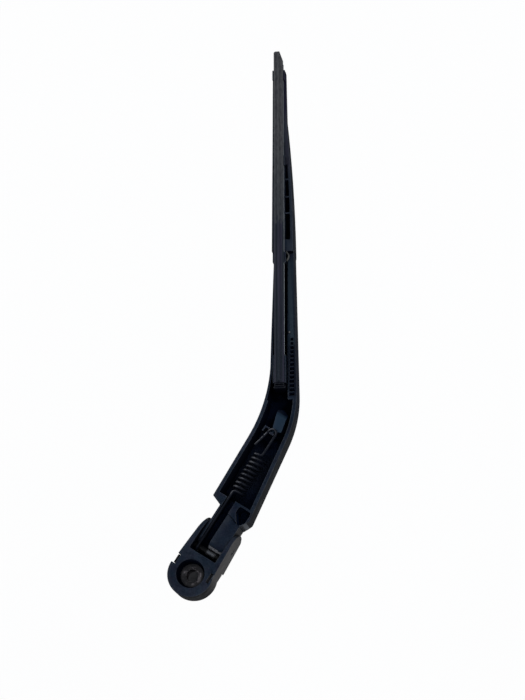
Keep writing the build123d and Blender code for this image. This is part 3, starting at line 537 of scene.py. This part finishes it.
def weathered_rubber():
    finish = Finish("weathered_rubber", Specular_IOR_Level=0.2)
    stripes = finish.step(finish.noise(1.6, 2, (1, 60, 1)), 0.42, 0.6)
    grain = finish.noise(0.6, 4)
    blotches = 0.6 * finish.noise(1.6, 6, (1, 2.4, 1)) + 0.4 * grain
    blotches = finish.step(blotches, 0.34, 0.66)
    along = finish.part(finish.place, 1)
    bleach = finish.rise(along + RAGGED * (blotches - 0.5), BLEACH_START, BLEACH_END)
    dark = finish.mix(stripes, tone(0.002, 0.0062, 0.012), tone(0.0125, 0.0115, 0.0265))
    dark = finish.mix(blotches * 0.3, dark, tone(0.0095, 0.0135, 0.021))
    near = finish.mix(blotches, tone(0.013, 0.0155, 0.019), tone(0.036, 0.04, 0.046))
    far = finish.mix(blotches, tone(0.019, 0.02, 0.024), tone(0.055, 0.055, 0.059))
    pale = finish.mix(finish.rise(along, 270, 330), near, far)
    return finish.show(
        Base_Color=finish.mix(bleach, dark, pale),
        Roughness=0.62 + 0.2 * grain,
        Normal=finish.bump(stripes, 0.05),
    )


RUBBER = weathered_rubber()

# %% [markdown]
# ## Grey plastic, and a finish for each node
# The pivot's bush and the small finger beside it are plain grey plastic with a fine speckle. The
# record gives each CAD node a material slot, and each slot has its finish here.


# %% Grey plastic finish
def grey_plastic(name, level):
    finish = Finish(name, Specular_IOR_Level=0.3)
    speckle = finish.noise(0.7, 4)
    dark = tone(0.8 * level, 0.8 * level, 0.78 * level)
    pale = tone(level, level, 0.96 * level)
    return finish.show(
        Base_Color=finish.mix(speckle, dark, pale),
        Roughness=0.5 + 0.15 * speckle,
    )


BUSH = grey_plastic("bush_plastic", 0.22)
FINGER = grey_plastic("finger_plastic", 0.055)

# %% The finish of each slot
MATERIAL_OF_SLOT = {
    "black_plastic": PLASTIC,
    "bush_plastic": BUSH,
    "pin_steel": PIN_STEEL,
    "insert_steel": INSERT_STEEL,
    "spring_steel": WIRE,
    "rail_steel": RAIL_STEEL,
    "rubber": RUBBER,
}
for node, cad in frame["nodes"].items():
    cad.data.materials.clear()
    cad.data.materials.append(MATERIAL_OF_SLOT[SLOT_OF[node]])
print(len(frame["nodes"]), "nodes share", len(MATERIAL_OF_SLOT), "finishes")

# %% [markdown]
# ## Softened edges
# CAD edges are knife sharp, and a moulding's never are: the tool has small radii and use rounds
# them further, so each edge catches a thin line of light. Each node is copied, its loose triangles
# are merged, and a Bevel modifier rounds every sharp edge. The copy then stands for the node.

# %% Select, open and round a piece
SHARP_EDGE = radians(35)
SMOOTH_EDGE = radians(40)
MERGE_REACH = 1e-6


def select_only(piece):
    bpy.ops.object.select_all(action="DESELECT")
    piece.select_set(True)
    bpy.context.view_layer.objects.active = piece


def edit_all():
    """Opens the active piece in edit mode, with all of it selected."""
    bpy.ops.object.mode_set(mode="EDIT")
    bpy.ops.mesh.select_all(action="SELECT")


def round_edges(piece, width, clamped=False):
    """Rounds the sharp edges; where clamped, a narrow face gets as much as it has room for."""
    edge = piece.modifiers.new("edge", "BEVEL")
    edge.width = width
    edge.segments = 2
    edge.angle_limit = SHARP_EDGE
    edge.loop_slide = clamped
    edge.use_clamp_overlap = clamped
    bpy.ops.object.modifier_apply(modifier=edge.name)
    bpy.ops.object.shade_smooth_by_angle(angle=SMOOTH_EDGE)


# %% A node's copy with softened edges
def softened(node, name, width):
    piece = bpy.data.objects.new(name, frame["nodes"][node].data.copy())
    bpy.context.scene.collection.objects.link(piece)
    select_only(piece)
    edit_all()
    bpy.ops.mesh.customdata_custom_splitnormals_clear()
    bpy.ops.mesh.remove_doubles(threshold=MERGE_REACH)
    bpy.ops.object.mode_set(mode="OBJECT")
    round_edges(piece, width)
    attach(piece, BODY_OF[node])
    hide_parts(node)
    print(name, "has", len(piece.data.polygons), "faces")
    return piece


EDGES = {
    "pivot_head": ("head_moulding", 0.35 * MM),
    "nut_cover": ("nut_lid", 0.3 * MM),
    "spline_insert": ("insert_collar", 0.2 * MM),
    "arm_channel": ("arm_moulding", 0.3 * MM),
    "blade_carrier": ("blade_moulding", 0.25 * MM),
    "heel_plug": ("heel_cup", 0.15 * MM),
    "anchor_pin": ("spring_anchor", 0.2 * MM),
    "hinge_stub_left": ("left_hinge_stub", 0.25 * MM),
    "hinge_stub_right": ("right_hinge_stub", 0.25 * MM),
    "pivot_pin": ("blade_pivot_pin", 0.25 * MM),
    "rail_left": ("left_rail", 0.12 * MM),
    "rail_right": ("right_rail", 0.12 * MM),
    "pivot_bush": ("blade_bush", 0.2 * MM),
    "squeegee": ("wiping_strip", 0.12 * MM),
}
pieces = {name: softened(node, name, width) for node, (name, width) in EDGES.items()}

# %% Pieces with a finish of their own
OWN_FINISH = {
    "spring_anchor": ANCHOR_STEEL,
    "left_hinge_stub": STUB_STEEL,
    "right_hinge_stub": STUB_STEEL,
    "blade_moulding": BLADE_PLASTIC,
    "heel_cup": BLADE_PLASTIC,
}
for name, finish in OWN_FINISH.items():
    pieces[name].data.materials[0] = finish
    print(name, "is in", finish.name)

# %% [markdown]
# ## Wiping lip at the tip
# The rubber is trimmed on a slope at the tip, so its thin lip ends before the strip does. A
# Boolean with a wedge could do it. Bisect with a sloping plane is one step, and it fills the cut.

# %% Cut the wiping lip back at the tip
TIP_Y = 398.5 * MM
SQUARE_END = 0.3 * MM
SHOULDER_Z = 12.4 * MM
LIP_HEIGHT = 3.8 * MM
LIP_SLOPE = radians(40)

select_only(pieces["wiping_strip"])
edit_all()
bpy.ops.mesh.bisect(
    plane_co=(0, TIP_Y - SQUARE_END, SHOULDER_Z),
    plane_no=(0, sin(LIP_SLOPE), cos(LIP_SLOPE)),
    clear_outer=True,
    use_fill=True,
)
bpy.ops.object.mode_set(mode="OBJECT")
print("the lip slopes down over the last", in_mm(LIP_HEIGHT / tan(LIP_SLOPE)), "mm")

# %% [markdown]
# ## Splined sleeve
# The spindle turns the arm through fine teeth in the insert's bore. A gear could be drawn point by
# point, but a ring with every second point drawn in gives the same teeth, and Solidify then makes
# the ring a sleeve.

# %% A toothed ring made into a sleeve
BORE_RADIUS = 5 * MM
TEETH = 36
TOOTH_HEIGHT = 0.45 * MM
SLEEVE_TOP_Z = -0.1 * MM
SLEEVE_LENGTH = 7.2 * MM
SLEEVE_WALL = 0.6 * MM

bpy.ops.object.select_all(action="DESELECT")
bpy.ops.mesh.primitive_circle_add(
    vertices=2 * TEETH, radius=BORE_RADIUS, location=(0, 0, SLEEVE_TOP_Z)
)
sleeve = bpy.context.object
sleeve.name = "splined_sleeve"
bpy.ops.object.transform_apply()
for point in sleeve.data.vertices:
    point.select = point.index % 2 == 0
bpy.ops.object.mode_set(mode="EDIT")
drawn_in = 1 - TOOTH_HEIGHT / BORE_RADIUS
bpy.ops.transform.resize(value=(drawn_in, drawn_in, 1), center_override=(0, 0, 0))
bpy.ops.mesh.select_all(action="SELECT")
bpy.ops.mesh.extrude_region_move(TRANSFORM_OT_translate={"value": (0, 0, -SLEEVE_LENGTH)})
bpy.ops.mesh.select_all(action="SELECT")
bpy.ops.mesh.normals_make_consistent(inside=True)
bpy.ops.object.mode_set(mode="OBJECT")
wall = sleeve.modifiers.new("wall", "SOLIDIFY")
wall.thickness = SLEEVE_WALL
wall.offset = -1
bpy.ops.object.modifier_apply(modifier=wall.name)


# %% Dress the sleeve
def dress(piece, body, finish):
    """Gives a new piece its finish and the body it rides on."""
    piece.data.materials.append(finish)
    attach(piece, body)
    print(piece.name, "has", len(piece.data.polygons), "faces and rides on", body)


dress(sleeve, "head", INSERT_STEEL)

# %% [markdown]
# ## Finger beside the blade's pivot
# A thin curved finger of plastic stands beside the pivot and snaps over the arm. It could be cut
# out of a tube. Here a flat section is spun round the finger's own centre, as a tool would turn
# it, so its width stays even, and the two open ends are filled.

# %% Curved finger
FINGER_PLACE = Vector((66.2, 235, 4.4)) * MM
FINGER_RADIUS = 4.2 * MM
FINGER_WIDTH = 0.9 * MM
FINGER_HEIGHT = 2.2 * MM
FINGER_SWEEP = radians(110)
FINGER_STEPS = 16
FINGER_EDGE = 0.2 * MM

bpy.ops.object.select_all(action="DESELECT")
bpy.ops.mesh.primitive_plane_add(
    size=1,
    location=FINGER_PLACE + Vector((FINGER_RADIUS, 0, 0)),
    rotation=(radians(90), 0, 0),
)
finger = bpy.context.object
finger.name = "snap_finger"
finger.scale = (FINGER_WIDTH, FINGER_HEIGHT, 1)
bpy.ops.object.transform_apply()
edit_all()
bpy.ops.mesh.delete(type="ONLY_FACE")
bpy.ops.mesh.select_all(action="SELECT")
bpy.ops.transform.rotate(
    value=FINGER_SWEEP / 2, orient_axis="Z", center_override=FINGER_PLACE
)
bpy.ops.mesh.spin(
    steps=FINGER_STEPS, angle=-FINGER_SWEEP, center=FINGER_PLACE, axis=(0, 0, 1)
)
bpy.ops.mesh.select_all(action="SELECT")
bpy.ops.mesh.fill_holes(sides=0)
bpy.ops.mesh.normals_make_consistent(inside=False)
bpy.ops.object.mode_set(mode="OBJECT")
round_edges(finger, FINGER_EDGE, clamped=True)
dress(finger, "blade", FINGER)

# %% [markdown]
# ## Pip on the arm's deck
# A small bright pip, like the end of a steel pin, stands on the deck just above the row of cells.
# A ball sunk in the deck would do from afar. A disc that is raised three times and drawn in at the
# last two keeps the straight side and the flat crown of a pin.

# %% Round pip
PIP_PLACE = Vector((70.4, 176.4, 3.7)) * MM
PIP_RADIUS = 0.9 * MM
PIP_SIDES = 20
PIP_RISES = ((0.45 * MM, 1.0), (0.2 * MM, 0.8), (0.1 * MM, 0.6))
PIP_SMOOTH = radians(60)

bpy.ops.object.select_all(action="DESELECT")
bpy.ops.mesh.primitive_circle_add(
    vertices=PIP_SIDES, radius=PIP_RADIUS, fill_type="NGON", location=PIP_PLACE
)
pip = bpy.context.object
pip.name = "deck_pip"
bpy.ops.object.transform_apply()
edit_all()
for rise, width in PIP_RISES:
    bpy.ops.mesh.extrude_region_move(TRANSFORM_OT_translate={"value": (0, 0, rise)})
    bpy.ops.transform.resize(value=(width, width, 1), center_override=PIP_PLACE)
bpy.ops.mesh.select_all(action="SELECT")
bpy.ops.mesh.fill_holes(sides=0)
bpy.ops.mesh.normals_make_consistent(inside=False)
bpy.ops.object.mode_set(mode="OBJECT")
bpy.ops.object.shade_smooth_by_angle(angle=PIP_SMOOTH)
dress(pip, "arm", PIN_STEEL)

# %% [markdown]
# ## Tension spring
# One round wire: nine turns, a long leg that hooks on the head's pin, and a wide hook round the
# arm's tab. A curve with a bevel could do it, but a wire section carried round by hand shows each
# bend. The Screw modifier winds the coil, then the two end rings are spun and extruded into the
# legs. It is made upright, with z along the coil, and then laid in the arm.
# The fold stretches the real spring by up to 1.4 mm. This one is rigid, so its upper hook has that
# much slack round the tab.

# %% Wind the coil
WIRE_RADIUS = 0.9 * MM
WIRE_SIDES = 14
COIL_RADIUS = 4.5 * MM
COIL_PITCH = 3.45 * MM
COIL_TURNS = 9
TURN_STEPS = 32

bpy.ops.object.select_all(action="DESELECT")
bpy.ops.mesh.primitive_circle_add(
    vertices=WIRE_SIDES,
    radius=WIRE_RADIUS,
    location=(COIL_RADIUS, 0, 0),
    rotation=(radians(90), 0, 0),
)
spring = bpy.context.object
spring.name = "coil_spring"
bpy.ops.object.transform_apply()
winding = spring.modifiers.new("winding", "SCREW")
winding.angle = radians(360)
winding.screw_offset = COIL_PITCH
winding.iterations = COIL_TURNS
winding.steps = TURN_STEPS
winding.render_steps = TURN_STEPS
bpy.ops.object.modifier_apply(modifier=winding.name)
coil_top = COIL_PITCH * COIL_TURNS
print("coil of", COIL_TURNS, "turns is", in_mm(coil_top), "mm long")

# %% Take an end ring and carry it on
RING_DEPTH = 1e-5
RING_ROOM = 1.05


def select_ring(centre):
    """Selects the points of the coil's open end whose middle is here."""
    bpy.ops.mesh.select_all(action="DESELECT")
    bpy.ops.object.mode_set(mode="OBJECT")
    for point in spring.data.vertices:
        off = point.co - centre
        point.select = off.length < RING_ROOM * WIRE_RADIUS and abs(off.y) < RING_DEPTH
    bpy.ops.object.mode_set(mode="EDIT")


def spin(angle, centre, axis, steps):
    """Spins the ring counter-clockwise; the operator's own angle counts the other way."""
    bpy.ops.mesh.spin(steps=steps, angle=-angle, center=centre, axis=axis)


def run(shift):
    bpy.ops.mesh.extrude_region_move(TRANSFORM_OT_translate={"value": shift})


select_only(spring)
bpy.ops.object.mode_set(mode="EDIT")
bpy.ops.mesh.select_mode(type="VERT")

# %% Draw the lower leg and its hook
COIL_REACH = 67 * MM
LEG_BEND = 2 * MM
BEND_STEPS = 8
ANCHOR_REACH = 19.7 * MM
LOWER_HOOK = 3.0 * MM
LOWER_STEPS = 14
QUARTER, HALF = radians(90), radians(180)

coil_start = Vector((COIL_RADIUS, 0, 0))
select_ring(coil_start)
spin(QUARTER, coil_start + Vector((0, 0, -LEG_BEND)), (1, 0, 0), BEND_STEPS)
run((0, 0, ANCHOR_REACH - COIL_REACH + LEG_BEND))
hook_start = Vector((COIL_RADIUS, -LEG_BEND, ANCHOR_REACH - COIL_REACH))
spin(HALF, hook_start + Vector((-LOWER_HOOK, 0, 0)), (0, 1, 0), LOWER_STEPS)
bpy.ops.mesh.edge_face_add()
print("lower leg is", in_mm(-hook_start.z), "mm long")

# %% Draw the upper leg and its hook, and close the wire
HANGER_REACH = 114.8 * MM
HOOK_SLACK = 1.4 * MM
UPPER_HOOK = 2.9 * MM
UPPER_STEPS = 18
HOOK_RETURN = 14.5 * MM
HOOK_FLARE = radians(13)

coil_end = Vector((COIL_RADIUS, 0, coil_top))
select_ring(coil_end)
spin(QUARTER, coil_end + Vector((0, 0, LEG_BEND)), (1, 0, 0), BEND_STEPS)
hook_reach = HANGER_REACH + HOOK_SLACK - COIL_REACH
run((0, 0, hook_reach - coil_top - LEG_BEND))
hook_start = Vector((COIL_RADIUS, LEG_BEND, hook_reach))
spin(HALF - HOOK_FLARE, hook_start + Vector((0, -UPPER_HOOK, 0)), (1, 0, 0), UPPER_STEPS)
run((0, -HOOK_RETURN * sin(HOOK_FLARE), -HOOK_RETURN * cos(HOOK_FLARE)))
bpy.ops.mesh.edge_face_add()
bpy.ops.mesh.select_all(action="SELECT")
bpy.ops.mesh.remove_doubles(threshold=MERGE_REACH)
bpy.ops.mesh.normals_make_consistent(inside=False)
bpy.ops.object.mode_set(mode="OBJECT")
print("upper leg is", in_mm(hook_reach - coil_top), "mm long")

# %% Lay the spring in the arm
COIL_LEFT = 5.8 * MM
LEG_HEIGHT = 2.7 * MM
WIRE_SMOOTH = radians(50)

coil_place = COIL_REACH * ALONG + COIL_LEFT * LEFT + (LEG_HEIGHT - COIL_RADIUS) * UP
lay = Matrix((UP, -LEFT, ALONG)).transposed().to_4x4()
spring.matrix_world = Matrix.Translation(coil_place) @ lay
bpy.ops.object.transform_apply()
bpy.ops.object.shade_smooth_by_angle(angle=WIRE_SMOOTH)
dress(spring, "spring", WIRE)
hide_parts("tension_spring")
for cad_corner, outermost in zip(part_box("tension_spring"), (min, max)):
    corner = [outermost(point.co[axis] for point in spring.data.vertices) for axis in range(3)]
    off = [in_mm(made - solid, 2) for made, solid in zip(corner, cad_corner)]
    print("spring's corner is off by", off, "mm")

# %% [markdown]
# ## Floor and light
# The arm folds towards its outer face, which is down here, so the floor lies as deep as the folded
# arm reaches and the head is held above it, as on its spindle. The lamps are wide and soft, so the
# black part is drawn by its edges and not by hard spots. To the camera and in reflections the
# floor is mostly a white glow, and the rest of it is pale paper, which takes the soft shadow.

# %% Floor
FLOOR_SIZE = 30
FLOOR_MIDDLE = (0.1, 0.2)
FOLD_DEPTH = 0.26
FLOOR_GLOW = 0.92
SEEN_BY = ("Is Camera Ray", "Is Glossy Ray", "Is Transmission Ray")

bpy.ops.object.select_all(action="DESELECT")
bpy.ops.mesh.primitive_plane_add(
    size=FLOOR_SIZE, location=(*FLOOR_MIDDLE, cad_low.z - FOLD_DEPTH)
)
floor = bpy.context.object
floor.name = "floor"
floor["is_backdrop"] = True
paper = Finish("paper_floor")
paper_colour = paper.mix(paper.noise(2), tone(0.86, 0.86, 0.86), tone(0.9, 0.9, 0.9))
paper.show(Base_Color=paper_colour, Roughness=0.9)
camera_ray, glossy_ray, clear_ray = (paper.node("ShaderNodeLightPath", out=ray) for ray in SEEN_BY)
glow = paper.node("ShaderNodeEmission", None, {"Strength": 1.0})
share = (camera_ray + glossy_ray + clear_ray) * FLOOR_GLOW
blend = paper.node("ShaderNodeMixShader", None, {0: share, 2: glow})
paper.tree.links.new(paper.surface.outputs[0], blend.socket.node.inputs[1])
paper.tree.links.new(blend.socket, paper.tree.nodes["Material Output"].inputs["Surface"])
floor.data.materials.append(paper.material)

# %% Lamps
LIT_PLACE = Vector((0.04, 0.18, 0))
LAMPS = {
    "left_window": ((-1.3, 0.5, 1.35), 1.2, 15),
    "right_window": ((1.2, 0.6, 1.5), 1.2, 15),
    "ceiling": ((0.4, -0.6, 2.0), 1.4, 10),
}
for name, (place, size, power) in LAMPS.items():
    bpy.ops.object.light_add(type="AREA", location=place)
    lamp = bpy.context.object
    lamp.name = name
    lamp.data.size = size
    lamp.data.energy = power
    lamp.rotation_euler = (LIT_PLACE - Vector(place)).to_track_quat("-Z", "Y").to_euler()
    print(name, "is", size, "m wide and", power, "W")

# %% Room
HORIZON = tone(1, 1, 1)
LOW_WALL = tone(0.8, 0.8, 0.8)
OVERHEAD = tone(0.26, 0.3, 0.36)

room = bpy.data.worlds.new("room")
bpy.context.scene.world = room
room.use_nodes = True
sky = Nodes(room.node_tree)
height = sky.part(sky.node("ShaderNodeTexCoord", out="Generated"), 2)
shade = sky.mix(sky.step(height, 0.05, 0.7), LOW_WALL, OVERHEAD)
shade = sky.mix(sky.step(height, 0.14, 0.06), shade, HORIZON)
sky.fill(room.node_tree.nodes["Background"], {"Color": shade, "Strength": 1.0})
bpy.context.scene.view_settings.view_transform = "Standard"
print("the room has", len(room.node_tree.nodes), "nodes")

# %% [markdown]
# ## Dressed size
# The dressed part's size is printed, as the CAD part's was at the start. The dressed
# part has to stay inside the CAD box.

# %% Boxes and finish
low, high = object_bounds()
print("dressed part is", [in_mm(side) for side in high - low], "mm")
